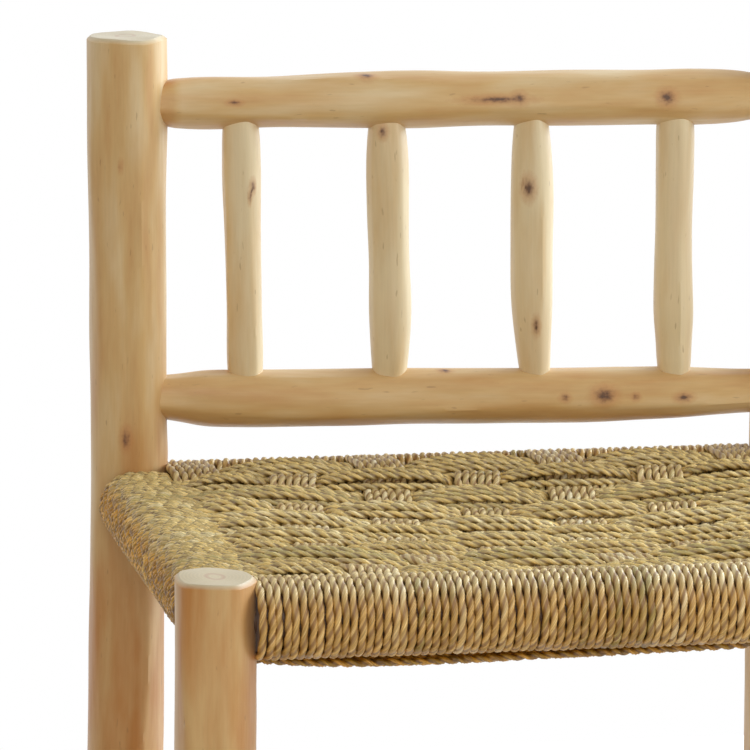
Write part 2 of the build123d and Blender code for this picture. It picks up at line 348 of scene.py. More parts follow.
@dataclass(frozen=True)
class PalmRope:
    """Hand-laid rope of split palm leaf, two plies to the right: each ply is a bundle of flat,
    slightly waxy strips that run nearly along the rope. Leaves differ from olive to golden straw.
    Light and shade are painted on it: the creases between the plies get painted shade, the sides
    a painted shade tint, the parts that look up a pale painted highlight, and bundles along the
    rope a painted highlight or painted shade.

    Widths, lengths and depths are in mm."""

    name: str
    leaves: tuple[str, ...]
    shaded: str  # painted shade: tints the sides and undersides, which face away from the light above
    # painted shade in the creases between the plies
    crease_shade: str
    # painted highlight: a pale colour, and its share, laid on the parts of a rope that look up, where the
    # light above falls
    top_light: str = "#E4D3A2"
    top_light_share: float = 0.30
    strip_pale: str = "#F0E2B8"
    strip_width: float = 0.75
    strip_length: float = 16.0
    strip_depth: float = 0.35
    strip_relief: float = 0.6  # strength of the strips' bumps
    leaf_width: float = 6.0
    leaf_length: float = 70.0
    bundle_width: float = 3.0
    bundle_length: float = 9.0
    bundle_shades: tuple[float, float] = (0.97, 1.36)  # painted shade and painted highlight: the darkest and the brightest shade that noise gives a bundle along the rope
    bundle_glint: tuple[float, float, float] = (0.95, 1.0, 1.16)  # painted reflection: tint of the sky on the brightest bundles
    roughness: float = 0.37
    ior: float = 1.5

    def along(self, tree: Tree, lay: Socket, length: float, width: float, **settings) -> Socket:
        """Noise that is drawn out along the rope.

        Args:
            tree: the material's nodes.
            lay: place in the rope, with its length first.
            length: size of its spots along the rope, in mm.
            width: size of its spots across the rope, in mm.
            settings: the noise's other inputs.

        Returns:
            The noise's value socket.
        """
        scale = (1 / (length * MM), 1 / (width * MM), 1 / (width * MM))
        spot = add_node(tree, "ShaderNodeMapping", {"Vector": lay, "Scale": scale})
        inputs = {"Vector": spot.outputs[0], "Scale": 1.0, **settings}
        return add_node(tree, "ShaderNodeTexNoise", inputs).outputs["Fac"]

    def grown(self, tree: Tree, lay: Socket, tone: Socket) -> Socket:
        """Each ply's leaf colour, which changes slowly as new leaves are laid in.

        Args:
            tree: the material's nodes.
            lay: place in the rope.
            tone: the ply's own shade.

        Returns:
            The colour's socket.
        """
        leaf = self.along(tree, lay, self.leaf_length, self.leaf_width, Detail=2.0)
        pick = add_node(tree, "ShaderNodeMath", {0: leaf, 1: 1.0, 2: tone}, operation="MULTIPLY_ADD")
        step = 1 / (len(self.leaves) - 1)
        stops = [(number * step, colour) for number, colour in enumerate(self.leaves)]
        return add_node(tree, "ShaderNodeValToRGB", {"Fac": pick.outputs[0]}, stops=stops).outputs[0]

    def split(self, tree: Tree, lay: Socket, strips: Socket, colour: Socket) -> Socket:
        """Parts the leaf into strips, and gives bundles along the rope a painted highlight or painted
        shade.

        Args:
            tree: the material's nodes.
            lay: place in the rope.
            strips: the strips' noise.
            colour: the leaf's colour.

        Returns:
            The colour's socket.
        """
        stops = [(0.30, grey(0.62)), (0.60, grey(1.10))]
        shade = add_node(tree, "ShaderNodeValToRGB", {"Fac": strips}, stops=stops).outputs[0]
        inputs = {FACTOR: 1.0, COLOUR_A: colour, COLOUR_B: shade}
        node = add_node(tree, "ShaderNodeMix", inputs, data_type="RGBA", blend_type="MULTIPLY")
        stops = [(0.56, grey(0.0)), (0.70, grey(0.65))]
        pale = add_node(tree, "ShaderNodeValToRGB", {"Fac": strips}, stops=stops).outputs[0]
        inputs = {FACTOR: pale, COLOUR_A: node.outputs[MIXED], COLOUR_B: linear(self.strip_pale)}
        node = add_node(tree, "ShaderNodeMix", inputs, data_type="RGBA")

        # painted highlight and painted shade: noise along the rope brightens some bundles, with a painted
        # sky-tinted glint, and darkens others
        bundle = self.along(tree, lay, self.bundle_length, self.bundle_width, Detail=1.0)
        deep, high = self.bundle_shades
        glint = tuple(tint * high for tint in self.bundle_glint)
        stops = [(0.36, grey(deep)), (0.62, (*glint, 1.0))]
        shade = add_node(tree, "ShaderNodeValToRGB", {"Fac": bundle}, stops=stops).outputs[0]
        inputs = {FACTOR: 1.0, COLOUR_A: node.outputs[MIXED], COLOUR_B: shade}
        node = add_node(tree, "ShaderNodeMix", inputs, data_type="RGBA", blend_type="MULTIPLY")
        return node.outputs[MIXED]

    def light_from_above(self, tree: Tree, facing_up: Socket, colour: Socket) -> Socket:
        """Paints light from above: a pale painted highlight on the parts that look up, and a painted shade
        tint on the sides.

        Args:
            tree: the material's nodes.
            facing_up: how far the rope looks up.
            colour: the rope's colour without it.

        Returns:
            The colour's socket.
        """
        # painted shade on the sides, then a painted highlight on what looks up
        side = add_node(tree, "ShaderNodeMath", {0: 1.0, 1: facing_up}, operation="SUBTRACT").outputs[0]
        inputs = {FACTOR: side, COLOUR_A: colour, COLOUR_B: linear(self.shaded)}
        node = add_node(tree, "ShaderNodeMix", inputs, data_type="RGBA", blend_type="MULTIPLY")
        inputs = {0: facing_up, 1: self.top_light_share}
        share = add_node(tree, "ShaderNodeMath", inputs, operation="MULTIPLY").outputs[0]
        inputs = {FACTOR: share, COLOUR_A: node.outputs[MIXED], COLOUR_B: linear(self.top_light)}
        return add_node(tree, "ShaderNodeMix", inputs, data_type="RGBA").outputs[MIXED]

    def material(self) -> bpy.types.Material:
        """Builds the material.

        Returns:
            The finished material.
        """
        made = bpy.data.materials.new(self.name)
        made.use_nodes = True
        tree = made.node_tree
        shader = tree.nodes["Principled BSDF"]
        lay = add_node(tree, "ShaderNodeAttribute", attribute_name="lay").outputs["Vector"]
        tone = add_node(tree, "ShaderNodeAttribute", attribute_name="tone").outputs["Vector"]
        # the rope's own shade, how far it looks up for the painted light, and how far a lobe stands out for
        # the painted crease shade
        tone, facing_up, height = add_node(tree, "ShaderNodeSeparateXYZ", {0: tone}).outputs
        strips = self.along(tree, lay, self.strip_length, self.strip_width, Detail=3.0, Roughness=0.6)
        colour = self.split(tree, lay, strips, self.grown(tree, lay, tone))
        colour = self.light_from_above(tree, facing_up, colour)
        # painted shade: darkens the creases between the plies, where a lobe draws in
        stops = [(0.26, grey(0.85)), (0.54, grey(0.15)), (0.8, grey(0.0))]
        crease_shade = add_node(tree, "ShaderNodeValToRGB", {"Fac": height}, stops=stops).outputs[0]
        inputs = {FACTOR: crease_shade, COLOUR_A: colour, COLOUR_B: linear(self.crease_shade)}
        colour = add_node(tree, "ShaderNodeMix", inputs, data_type="RGBA").outputs[MIXED]
        inputs = {"Height": strips, "Strength": self.strip_relief, "Distance": self.strip_depth * MM}
        bump = add_node(tree, "ShaderNodeBump", inputs)
        tree.links.new(colour, shader.inputs["Base Color"])
        tree.links.new(bump.outputs[0], shader.inputs["Normal"])
        shader.inputs["Roughness"].default_value = self.roughness
        shader.inputs["IOR"].default_value = self.ior
        return made


GOLDEN_LEAVES = ("#A08C46", "#B5934C", "#C7A35C", "#D8B976", "#EAD9AE")
WEFT_LEAVES = ("#A58C3A", "#B8923F", "#C9A44E", "#D4B262", "#E3CC92")


# ------------------------------------------------------------------------------------- poles
FAR_FROM_KNOTS = 9.0  # distance in knot sizes that stands for no knot near
PATTERN_STEP = 0.31  # metres that part the grain of one pole from the next one's
NEARLY_ZERO = 1e-6  # metres


@dataclass(frozen=True)
class Knot:
    """Trace of a branch: how far along the visible pole, the turn round it in degrees, its size
    along and across in mm, and how much it swells in mm."""

    share: float
    turn: float
    length: float = 4.0
    width: float = 3.0
    swell: float = 0.5


@dataclass
class Pole:
    """A natural pole that stands for a node of the frame. Girths are (share of the length,
    diameter in mm), drifts are (share of the length, mm along each cross direction) and hues are
    (share of the length, how much paler than most)."""

    node: str
    way: Lengthwise
    girths: tuple[tuple[float, float], ...]
    drifts: tuple[tuple[float, float, float], ...] = ((0, 0, 0), (1, 0, 0))
    knots: tuple[Knot, ...] = ()
    hues: tuple[tuple[float, float], ...] = ((0.0, 0.0), (1.0, 0.0))
    sides: int = 56
    step: float = 3.0  # mm between its rings
    face_rings: int = 4  # on each end face
    end_bevel: float = 2.4  # mm
    saw_slant: float = 1.3  # mm by which the top cut is uneven
    saw_patch: float = 22.0  # mm across a high or low patch of it
    saw_tilt: float = 0.0  # degrees by which the top cut leans to the first cross direction
    saw_reach: float = 6.0  # bevels over which the rings below the cut slant with it
    proud: float = 0.0  # mm that the top stands over the frame's
    dents: float = 0.55  # mm
    dent_length: float = 60.0  # mm
    dent_round: float = 1.3  # how closely dents follow each other round the pole
    flats: int = 5
    flat_depth: float = 0.10  # share of the radius
    flat_wander: float = 0.30  # radians by which a flat strays round the pole
    wander_length: float = 120.0  # mm of the pole in which it does
    flat_mean: float = 0.85  # share of its depth that a flat has as a rule
    flat_change: float = 0.6  # how much that share changes
    flat_length: float = 80.0  # mm of the pole in which it does
    ridge: float = 17.0  # turn of a ridge between two flats, in degrees
    smooth_under: float = 35.0  # degrees between faces that still look smooth

    def __post_init__(self) -> None:
        """Takes from the node's name a number that tells this pole's dents and grain from another's."""
        self.seed = sum(ord(letter) * (place + 1) for place, letter in enumerate(self.node)) % 97

    def blank(self, length: float) -> bpy.types.Object:
        """Turns a round blank with rings along it, bevelled ends and rings on the end faces.

        Args:
            length: length of the blank in metres.

        Returns:
            The blank, upright on the origin.
        """
        radius = self.girths[0][1] / 2 * MM
        bpy.ops.object.select_all(action="DESELECT")
        bpy.ops.mesh.primitive_cylinder_add(
            vertices=self.sides, radius=radius, depth=length, location=(0, 0, length / 2)
        )
        blank = bpy.context.object
        bpy.ops.object.transform_apply(location=True, rotation=True, scale=True)
        bpy.ops.object.mode_set(mode="EDIT")
        bpy.ops.mesh.select_mode(type="EDGE")
        self.pick_edges(blank, lambda low, high: high - low > length / 2)
        cuts = int(length / (self.step * MM))
        bpy.ops.mesh.subdivide_edgering(number_cuts=cuts, interpolation="LINEAR", smoothness=0)
        self.pick_edges(blank, lambda low, high: high < NEARLY_ZERO or low > length - NEARLY_ZERO)
        bpy.ops.mesh.bevel(offset=self.end_bevel * MM, segments=1, affect="EDGES")
        bpy.ops.mesh.select_mode(type="FACE")
        mesh = bmesh.from_edit_mesh(blank.data)
        for face in mesh.faces:
            face.select_set(len(face.verts) > 4)
        bmesh.update_edit_mesh(blank.data)
        for _ in range(self.face_rings):
            bpy.ops.mesh.inset(thickness=radius / (self.face_rings + 2))
        bpy.ops.mesh.poke()
        bpy.ops.object.mode_set(mode="OBJECT")
        return blank

    @staticmethod
    def pick_edges(blank: bpy.types.Object, wanted: Callable[[float, float], bool]) -> None:
        """Selects the edges whose lowest and highest ends pass a test.

        Args:
            blank: the object in edit mode.
            wanted: the test on the two heights.
        """
        mesh = bmesh.from_edit_mesh(blank.data)
        for edge in mesh.edges:
            heights = sorted(vertex.co.z for vertex in edge.verts)
            edge.select_set(wanted(*heights))
        bmesh.update_edit_mesh(blank.data)

    def flat(self, turn: float, height: float, radius: float) -> float:
        """Height of the long flats that the draw knife leaves, which wander and run out.

        Args:
            turn: angle round the pole.
            height: place along the pole in metres.
            radius: the pole's radius in mm.

        Returns:
            How far the surface stands over the mean, in mm.
        """
        aside, ahead = math.cos(turn), math.sin(turn)
        strayed = noise.noise((aside, ahead + self.seed, height / (self.wander_length * MM)))
        changed = noise.noise((aside + self.seed, ahead, height / (self.flat_length * MM)))
        angle = turn - math.radians(self.ridge) + self.flat_wander * strayed
        fall = 2 / math.pi - abs(math.sin(self.flats / 2 * angle))
        return self.flat_depth * radius * fall * (self.flat_mean + self.flat_change * changed)

    def dent(self, turn: float, height: float) -> float:
        """Height of the shallow dents and lumps that every grown pole has.

        Args:
            turn: angle round the pole.
            height: place along the pole in metres.

        Returns:
            How far the surface stands over the mean, in mm.
        """
        aside, ahead = self.dent_round * math.cos(turn), self.dent_round * math.sin(turn)
        return self.dents * noise.noise((aside, ahead + self.seed, height / (self.dent_length * MM)))

    def shaped(self, mesh: bpy.types.Mesh, places: np.ndarray, length: float) -> np.ndarray:
        """Shapes the blank's points and keeps on its mesh what the wood's material reads.

        Args:
            mesh: the blank's mesh.
            places: its points, upright on the origin, in metres.
            length: its length in metres.

        Returns:
            The pole's points.
        """
        height = places[:, 2].copy()
        share = np.clip(height / length, 0, 1)
        turn = np.arctan2(places[:, 1], places[:, 0])
        reach = np.hypot(places[:, 0], places[:, 1]) / (self.girths[0][1] / 2 * MM)
        radius = curve_through(self.girths, share) / 2
        relief = np.array([
            self.dent(angle, high) + self.flat(angle, high, size)
            for angle, high, size in zip(turn, height, radius)
        ])
        from_knot = np.full(len(places), FAR_FROM_KNOTS)
        for knot in self.knots:
            round_it = (turn - math.radians(knot.turn) + math.pi) % (2 * math.pi) - math.pi
            along_it = (share - knot.share) * length / MM
            distance = np.hypot(round_it * radius / knot.width, along_it / knot.length)
            relief += knot.swell * np.exp(-(distance**2) / 3)
            from_knot = np.minimum(from_knot, distance)
        size = (radius + relief) * reach * MM
        places[:, 0] = size * np.cos(turn)
        places[:, 1] = size * np.sin(turn)

        # The top cut is uneven and leans, and the rings below it give way to it
        sawn_low = np.clip(1.2 - (length - height) / (self.saw_reach * self.end_bevel * MM), 0, 1)
        patch = self.saw_patch * MM
        uneven = np.array([0.5 + noise.noise((x / patch, y / patch, self.seed)) for x, y in places[:, :2]])
        leaning = math.tan(math.radians(self.saw_tilt)) * (places[:, 0] + radius * MM)
        places[:, 2] -= sawn_low * (self.saw_slant * MM * uneven + leaning)
        places[:, 2] += self.proud * MM * share

        # The end's face and a third of its chamfer have the saw's colour, which runs out over the rest
        from_end = np.minimum(height, length - height)
        store(mesh, "pole", places + np.array([0, 0, self.seed * PATTERN_STEP]))
        store(mesh, "knot", from_knot)
        store(mesh, "sawn", np.clip(1.5 - 1.5 * from_end / (self.end_bevel * MM), 0, 1))
        store(mesh, "hue", np.interp(share, *np.array(self.hues).T))
        stations, *ways = np.array(self.drifts, float).T
        for axis, drift in enumerate(ways):
            places[:, axis] += curve_through(tuple(zip(stations, drift)), share) * MM
        return places

    def make(self, finish: bpy.types.Material) -> bpy.types.Object:
        """Shapes a blank into the pole, in the place of its node.

        Args:
            finish: the wood.

        Returns:
            The finished piece.
        """
        low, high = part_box(self.node)
        across, down, along = (Vector(direction) for direction in self.way.value)
        length = abs((high - low).dot(along))
        pole = self.blank(length)
        mesh = pole.data
        places = np.empty(len(mesh.vertices) * 3)
        mesh.vertices.foreach_get("co", places)
        places = self.shaped(mesh, places.reshape(-1, 3), length)
        mesh.vertices.foreach_set("co", places.ravel())
        stand = Matrix((across, down, along)).transposed().to_4x4()
        stand.translation = (low + high) / 2 - along * length / 2
        mesh.transform(stand)
        mesh.update()
        bpy.ops.object.shade_smooth_by_angle(angle=math.radians(self.smooth_under))
        pole.name = f"{self.node}_pole"
        mesh.materials.append(finish)
        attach(pole, "root")
        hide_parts(self.node)
        return pole


# -------------------------------------------------------------------------------- rope seat
@dataclass(frozen=True)
class TwoPly:
    """How one set of the seat's ropes is twisted and which way it circles."""

    lay: float  # mm in which a ply goes round once
    waist: float  # share of the rope's radius that is left where the plies meet
    plane: tuple[int, int, int]  # normal of the plane that each rope circles in


@dataclass
class RopeSeat:
    """Seat woven of two-ply rope round four rails. The ropes that run front to back are wound
    first, and the ropes that run side to side pass over three groups of them and under one.

    The ropes are swept in code: no operator lays a twisted pair of plies along a woven path.
    """

    # The rope
    rope: float = 5.5  # mm over both plies
    long_rope: TwoPly = TwoPly(25.0, 0.68, (1, 0, 0))  # wound first, front to back
    short_rope: TwoPly = TwoPly(16.5, 0.43, (0, -1, 0))  # woven through it, side to side
    ring_step: float = 2.1  # mm between sections
    corners: int = 10  # of a section
    slack: float = 0.7  # radians by which the twist runs ahead and lags
    slack_waves: int = 9  # times that it does on its way round
    lumps: float = 0.05  # share of the radius
    lump_waves: int = 13
    lay_range: tuple[float, float] = (0.9, 1.12)  # times the lay that a group's ropes may have
    ply_turn: float = 0.9  # radians from one rope's plies to the next one's
    turn_stray: float = 0.3  # radians
    group_tones: float = 0.12  # how much the groups differ in shade
    rope_tones: float = 0.14  # and the ropes of a group
    ply_tones: float = 0.16  # and the plies of a rope
    lay_shift: float = 40.0  # metres of leaf that each rope takes its own stretch of
    first_top_light: float = 0.42  # how far a rope must look up, from 0 for sideways to 1, to get any painted highlight from above

    # The weave
    ropes_in_group: int = 6
    groups: int = 13
    rows: int = 10
    end_gap: float = 4.0  # mm from a band of the frame's rope to where the outermost rope lies
    layers: float = 0.48  # ropes from the weave's middle to each layer
    crossing: float = 0.17  # share of a group's width in which a rope dives
    bunching: float = 0.14  # how much the ropes close up where they dive
    window_swell: float = 2.5  # mm that a window stands up
    window_bunching: float = 0.3  # how much of the bunching is left between two windows
    float_swell: float = 6.6  # mm that a float over three groups stands up in its middle
    float_fullness: float = 0.7  # power of a float's bow: under 1 is fuller
    float_width: float = 2.9  # ropes from a float's middle to where its swell ends
    float_edge: float = 2.1  # mm by which its ropes lie lower there
    float_tilt: float = 0.5  # mm by which a float's rope lies lower than the one behind it
    row_bunching: float = 2.2  # times that the rows bunch more than the groups
    row_dive: float = 0.45  # how much of that they close up at a float's ends
    row_window: float = 0.55  # and under a window
    row_spread: float = 1.7  # how much they open from a float's ends to its middle
    unevenness: tuple[float, float, float] = (0.35, 0.45, 0.55)  # mm: of groups, of rows, of ropes
    seed: int = 20

    # The dish, and how the weave pulls the ropes aside
    dish: float = 12.5  # mm that the middle lies under the rails' tops
    rear_dish: tuple[float, ...] = (0.12, 0.20, 0.84, 0.88)  # share of the dish at each row
    front_dish: tuple[float, ...] = (0.62, 0.60, 0.68, 0.82)
    left_dish: tuple[float, ...] = (0.25, 0.40, 0.55, 0.75, 0.90)
    right_dish: tuple[float, ...] = (0.45, 0.85)
    lean: float = -21.0  # mm that the weave has pulled the front-to-back ropes aside
    lean_at_row: tuple[tuple[float, float], ...] = (  # (row from the rear, share)
        (-0.8, 0.0), (0.8, -0.12), (1.6, 0.10), (2.5, 0.22), (5.0, 0.64), (7.6, 0.95), (8.6, 0.6),
        (9.3, -0.1), (10.6, 0.0),
    )
    push: float = 10.0  # mm that it has pushed the rear rows onto their rail
    push_at_row: tuple[tuple[float, float], ...] = (
        (0.0, 0.8), (1.5, 1.0), (2.5, 0.4), (3.5, 0.1), (4.5, 0.0), (10.0, 0.0),
    )
    rear_lap: float = 0.9  # rows behind the rear edge where the first row, pushed back, begins
    rear_rise: float = 1.2  # mm that the ropes stand higher on the rear rail
    rise_reach: float = 14.0  # mm in front of it over which they rise

    # Round and under the rails
    long_steps: tuple[int, int] = (420, 60)  # points of a rope over the seat and under it
    short_steps: tuple[int, int] = (520, 80)
    wrap_steps: int = 26
    long_stray: float = 0.28  # mm that a rope strays on the outer side of a rail
    short_stray: float = 0.10
    clearance: float = 1.1  # ropes from the front rail's underside to the ropes that pass below
    fall_share: float = 0.13  # share of the half width in which they fall to there
    sag: float = 11.5  # mm that the side-to-side ropes hang under the seat
    sag_middle: float = 0.85  # share of the sag in the middle
    sag_left: float = 0.33  # how much greater the share is at the left and less at the right
    sag_range: tuple[float, float] = (0.75, 1.1)  # times that sag that one rope may have

    def __post_init__(self) -> None:
        """Reads the rails and the seat's outline from the frame, in mm."""
        low, high = (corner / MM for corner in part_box("seat_rope_front_to_back"))
        self.half_width = (high.x - low.x) / 2 + self.end_gap
        low, high = (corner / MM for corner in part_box("seat_rope_side_to_side"))
        self.front_edge = low.y - self.end_gap
        self.rear_edge = high.y + self.end_gap
        self.rail = {}
        for name in ("front", "rear", "left", "right"):
            low, high = (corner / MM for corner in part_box(f"seat_rail_{name}"))
            self.rail[name] = ((low + high) / 2, (high.z - low.z) / 2)
        rail_middle, rail_radius = self.rail["front"]
        self.crest = rail_middle.z + rail_radius + self.rope / 2
        self.layer = self.rope * self.layers
        self.group_pitch = 2 * self.half_width / self.groups
        self.row_pitch = (self.rear_edge - self.front_edge) / self.rows
        self.dice = np.random.default_rng(self.seed)
        for_group, for_row, for_rope = self.unevenness
        self.level_of_group = self.dice.normal(0, for_group, self.groups)
        self.level_of_row = self.dice.normal(0, for_row, self.rows)
        self.level_of_rope = self.dice.normal(0, for_rope, self.rows * self.ropes_in_group)

    def shows(self, group: int, row: int) -> bool:
        """Tells whether a front-to-back group comes up over a side-to-side row.

        The outermost groups come up on the rear row only: past it the weave has closed over them.

        Args:
            group: the group's number from the left.
            row: the row's number from the rear.

        Returns:
            Whether there is a window in the row.
        """
        if group in (0, self.groups - 1) and row > 0:
            return False
        return group % 2 == 0 and (group // 2 + row) % 2 == 0

    def middle_level(self, x: np.ndarray, y: np.ndarray) -> np.ndarray:
        """Height between the two layers of the weave.

        Args:
            x: places across the seat in mm.
            y: places from front to back in mm.

        Returns:
            Heights in mm.
        """
        group = (x + self.half_width) / self.group_pitch
        row = (self.rear_edge - y) / self.row_pitch
        across = self.dish_share(group, self.groups, self.left_dish, self.right_dish)
        deep = self.dish_share(row, self.rows, self.rear_dish, self.front_dish)
        return self.crest - self.layer - self.dish * across * deep

    @staticmethod
    def dish_share(place: np.ndarray, count: int, first: tuple, last: tuple) -> np.ndarray:
        """Depth of the dish along one way, from 0 at its edges to 1.

        Args:
            place: places counted in groups from the first edge.
            count: number of groups.
            first: share at each group from the first edge.
            last: share at each group from the last edge.

        Returns:
            The share at each place.
        """
        points = [(-0.5, 0.0)]
        points += [(number + 0.5, share) for number, share in enumerate(first)]
        points += [(len(first) + 0.5, 1.0), (count - len(last) - 0.5, 1.0)]
        points += [(count - 0.5 - number, share) for number, share in reversed(list(enumerate(last)))]
        points += [(count + 0.5, 0.0)]
        return curve_through(tuple(points), place)

    def layer_side(self, place: np.ndarray, sides: list[int]) -> np.ndarray:
        """Which layer a rope lies in: 1 on top, -1 below, with a dive between groups.

        Args:
            place: places counted in crossed groups.
            sides: the layer at each crossed group.

        Returns:
            The layer at each place.
        """
        padded = np.array([1, *sides, 1], float)
        nearest = np.round(place)
        before = padded[np.clip(nearest.astype(int), 0, len(padded) - 1)]
        after = padded[np.clip(nearest.astype(int) + 1, 0, len(padded) - 1)]
        rise = eased(np.clip((place - nearest) / self.crossing / 2 + 0.5, 0, 1))
        return before * (1 - rise) + after * rise

    @staticmethod
    def swell(place: np.ndarray, sides: list[int]) -> np.ndarray:
        """How far along a stretch on top a rope is: a bow from 0 at each dive to 1 between.

        Args:
            place: places counted in crossed groups.
            sides: the layer at each crossed group.

        Returns:
            The bow at each place.
        """
        bow = np.zeros_like(place)
        start = 0
        while start < len(sides):
            end = start
            while end < len(sides) and sides[end] == sides[start]:
                end += 1
            if sides[start] > 0:
                inside = (place > start) & (place < end)
                bow[inside] = np.sin(math.pi * (place[inside] - start) / (end - start))
            start = end
        return bow

    def drift(self, x: float | np.ndarray, y: np.ndarray) -> np.ndarray:
        """How far the weave has pulled the front-to-back ropes aside.

        Args:
            x: the rope's place on its rails in mm.
            y: places from front to back in mm.

        Returns:
            The pull in mm.
        """
        pull = curve_through(self.lean_at_row, (self.rear_edge - y) / self.row_pitch)
        free = np.clip(1 - np.abs(x / self.half_width) ** 5, 0, 1)
        return self.lean * pull * free

    def row_push(self, x: float | np.ndarray, row: float) -> float | np.ndarray:
        """How far the weave has pushed a side-to-side rope to the rear.

        Args:
            x: places across the seat in mm.
            row: the rope's place in rows from the rear.

        Returns:
            The push in mm.
        """
        share = curve_through(self.push_at_row, np.array([row]))[0]
        return self.push * share * np.clip(1 - np.abs(x / self.half_width) ** 4, 0, 1)

    def wrap(self, side: str, run: int, place: float, stray: float, spare: float = 0.0) -> np.ndarray:
        """Half a turn round a rail, from its top over its outer side to its underside.

        Args:
            side: the rail's side of the seat.
            run: the axis that the rope runs along: 0 for x, 1 for y.
            place: the rope's place on the rail in mm.
            stray: how far it lies aside at the rail's outer side, in mm.
            spare: how far it stands off the rail in mm.

        Returns:
            (x, y, z) rows in mm.
        """
        middle, rail_radius = self.rail[side]
        radius = rail_radius + self.rope / 2 + spare
        outward = 1 if side in ("rear", "right") else -1
        angle = np.linspace(math.pi / 2, -math.pi / 2, self.wrap_steps)
        points = np.empty((self.wrap_steps, 3))
        points[:, run] = middle[run] + outward * radius * np.cos(angle)
        points[:, 1 - run] = place + stray * np.sin(np.linspace(0, math.pi, self.wrap_steps))
        points[:, 2] = middle.z + radius * np.sin(angle)
        return points

    def front_to_back(self, number: int) -> np.ndarray:
        """Path of a rope that runs front to back.

        Args:
            number: the rope's number from the left.

        Returns:
            Closed path of (x, y, z) rows in mm.
        """
        group, within = divmod(number, self.ropes_in_group)
        offset = within - (self.ropes_in_group - 1) / 2
        rope_pitch = self.group_pitch / self.ropes_in_group
        x_rail = -self.half_width + (number + 0.5) * rope_pitch
        front, radius = self.rail["front"]
        rear = self.rail["rear"][0]
        over_steps, under_steps = self.long_steps
        y = np.linspace(front.y, rear.y, over_steps)

        # Its place in rows, which are pushed to the rear
        edges = range(1, self.rows + 1)
        pushed = [edge - self.row_push(x_rail, edge) / self.row_pitch for edge in edges]
        row = (self.rear_edge - y) / self.row_pitch
        row = np.interp(row, [-self.rear_lap, *pushed, self.rows + 1], [0, *edges, self.rows + 1])

        sides = [1 if self.shows(group, crossed) else -1 for crossed in range(self.rows)]
        side = self.layer_side(row, sides)
        gather = self.bunching * (1 - np.abs(side) + self.window_bunching * (side < 0))
        gather *= np.clip(row - 0.5, 0, 1)
        inner = np.clip(np.minimum(row, self.rows - row) / 0.5, 0, 1)
        x = x_rail + self.drift(x_rail, y) - offset * rope_pitch * gather
        z = self.middle_level(x, y) + side * self.layer + self.swell(row, sides) * self.window_swell * inner
        z += self.level_of_group[group] * inner
        z += self.rear_rise * np.clip(1 - (rear.y - y) / self.rise_reach, 0, 1) ** 2
        over = np.stack([x, y, z], axis=1)

        rear_stray, front_stray = self.dice.normal(0, self.long_stray, 2)
        down = self.wrap("rear", 1, x_rail, rear_stray, self.rear_rise)
        up = self.wrap("front", 1, x_rail, front_stray)[::-1]
        under_y = np.linspace(rear.y, front.y, under_steps)[1:-1]
        under_z = np.full_like(under_y, front.z - radius - self.rope / 2)
        under = np.stack([np.full_like(under_y, x_rail), under_y, under_z], axis=1)
        return np.concatenate([over, down[1:], under, up[:-1]])

    def side_to_side(self, number: int) -> np.ndarray:
        """Path of a rope that runs side to side.

        Args:
            number: the rope's number from the rear.

        Returns:
            Closed path of (x, y, z) rows in mm.
        """
        row, within = divmod(number, self.ropes_in_group)
        offset = within - (self.ropes_in_group - 1) / 2
        rope_pitch = self.row_pitch / self.ropes_in_group
        y_rail = self.rear_edge - (number + 0.5) * rope_pitch
        left, radius = self.rail["left"]
        right = self.rail["right"][0]
        over_steps, under_steps = self.short_steps
        x = np.linspace(left.x, right.x, over_steps)

        # Its place in groups, which are pulled aside
        own_x = x - self.drift(x, np.full_like(x, y_rail))
        group = (own_x + self.half_width) / self.group_pitch
        sides = [-1 if self.shows(crossed, row) else 1 for crossed in range(self.groups)]
        side = self.layer_side(group, sides)
        bow = self.swell(group, sides)
        from_edge = np.minimum(group, self.groups - group)
        inner = np.clip(from_edge / 0.5, 0, 1)
        woven = np.clip(from_edge - 1, 0, 1)

        # The ropes of a float part in its middle and close up where they dive
        spread = np.where(side > 0, self.row_spread * bow - self.row_dive, -self.row_window)
        y = y_rail - offset * rope_pitch * self.bunching * self.row_bunching * spread * woven
        rounding = 1 - (offset / self.float_width) ** 2
        relief = bow**self.float_fullness * self.float_swell * rounding
        relief -= self.float_edge * (1 - rounding) + self.float_tilt * offset * bow
        relief += self.level_of_row[row] + self.level_of_rope[number]
        z = self.middle_level(x, y) + side * self.layer + relief * inner
        y += self.row_push(x, row + 0.5 + offset / self.ropes_in_group)
        over = np.stack([x, y, z], axis=1)

        right_stray, left_stray = self.dice.normal(0, self.short_stray, 2)
        down = self.wrap("right", 0, y_rail, right_stray)
        up = self.wrap("left", 0, y_rail, left_stray)[::-1]

        # Under the seat it falls to below the front-to-back ropes and hangs
        front, front_radius = self.rail["front"]
        below = front.z - front_radius - self.clearance * self.rope
        start = left.z - radius - self.rope / 2
        under_x = np.linspace(right.x, left.x, under_steps)[1:-1]
        share = np.abs(under_x) / right.x
        fall = eased(np.clip((1 - share) / self.fall_share, 0, 1))
        hang = self.sag * (1 - share**4) * (self.sag_middle - self.sag_left * under_x / right.x)
        hang *= self.dice.uniform(*self.sag_range)
        under_z = start + (below - start) * fall - hang
        under = np.stack([under_x, np.full_like(under_x, y_rail), under_z], axis=1)
        return np.concatenate([over, down[1:], under, up[:-1]])

